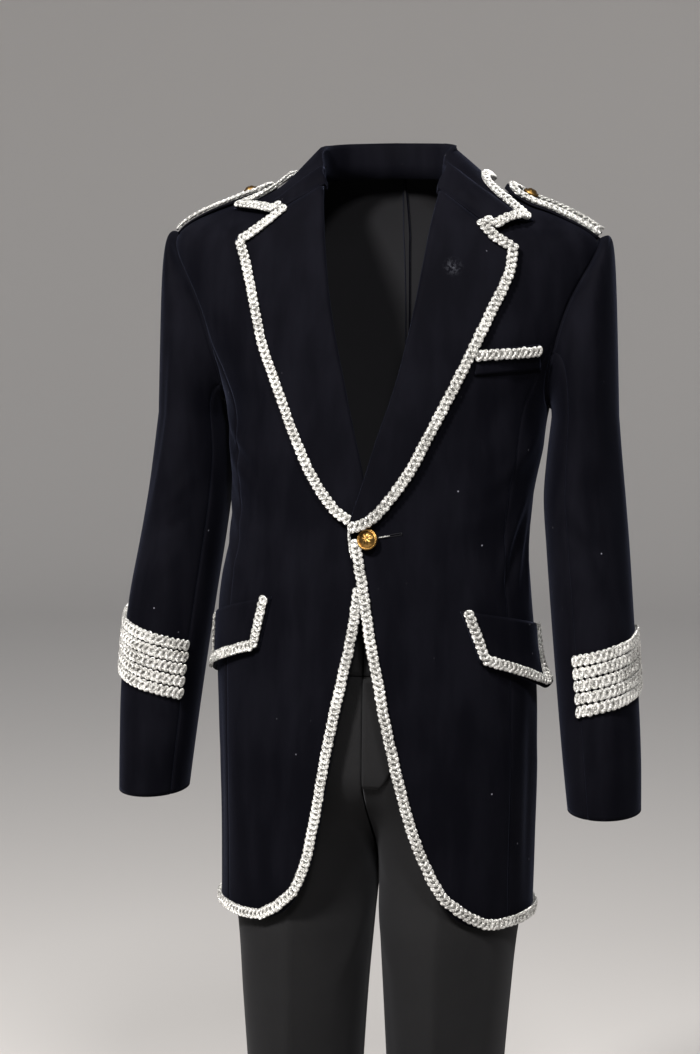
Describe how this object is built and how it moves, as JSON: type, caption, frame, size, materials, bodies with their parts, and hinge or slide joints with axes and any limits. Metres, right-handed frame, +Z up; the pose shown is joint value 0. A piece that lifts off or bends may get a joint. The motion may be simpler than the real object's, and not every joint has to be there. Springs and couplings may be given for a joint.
{
  "type": "two-piece dress suit",
  "caption": "Worn two-piece dress suit: a velvet coat edged with looped silver braid, and wool trousers.",
  "frame": {"origin": "the middle of the neck, level with the shoulder tips, where the wearer's shoulders hold the suit", "axes": "+Z up, +X to the wearer's left, -Y to the front"},
  "size_m": [0.5395, 0.2658, 1.5558],
  "materials": {
    "velvet": "cotton velvet, a midnight blue that looks black, with a soft sheen",
    "silver_braid": "silver thread worked into overlapping rings",
    "brass": "polished, with a low raised pattern",
    "wool": "fine black twill, pressed"
  },
  "bodies": {
    "root": {"front_left": "velvet", "front_right": "velvet", "side_left": "velvet", "side_right": "velvet", "back_left": "velvet", "back_right": "velvet", "lapel_left": "velvet", "lapel_right": "velvet", "collar": "velvet", "sleeve_top_left": "velvet", "sleeve_top_right": "velvet", "sleeve_under_left": "velvet", "sleeve_under_right": "velvet", "flap_left": "velvet", "flap_right": "velvet", "chest_welt": "velvet", "strap_left": "velvet", "strap_right": "velvet", "edge_braid_left": "silver_braid", "edge_braid_right": "silver_braid", "hem_braid_left": "silver_braid", "hem_braid_right": "silver_braid", "lapel_braid_left": "silver_braid", "lapel_braid_right": "silver_braid", "collar_braid_left": "silver_braid", "collar_braid_right": "silver_braid", "flap_braid_left": "silver_braid", "flap_braid_right": "silver_braid", "welt_braid": "silver_braid", "strap_braid_left": "silver_braid", "strap_braid_right": "silver_braid", "cuff_braid_left_1": "silver_braid", "cuff_braid_left_2": "silver_braid", "cuff_braid_left_3": "silver_braid", "cuff_braid_left_4": "silver_braid", "cuff_braid_left_5": "silver_braid", "cuff_braid_right_1": "silver_braid", "cuff_braid_right_2": "silver_braid", "cuff_braid_right_3": "silver_braid", "cuff_braid_right_4": "silver_braid", "cuff_braid_right_5": "silver_braid", "front_button": "brass", "strap_button_left": "brass", "strap_button_right": "brass", "trouser_front_left": "wool", "trouser_front_right": "wool", "trouser_back_left": "wool", "trouser_back_right": "wool", "waistband": "wool", "fly": "wool"}
  },
  "joints": []
}
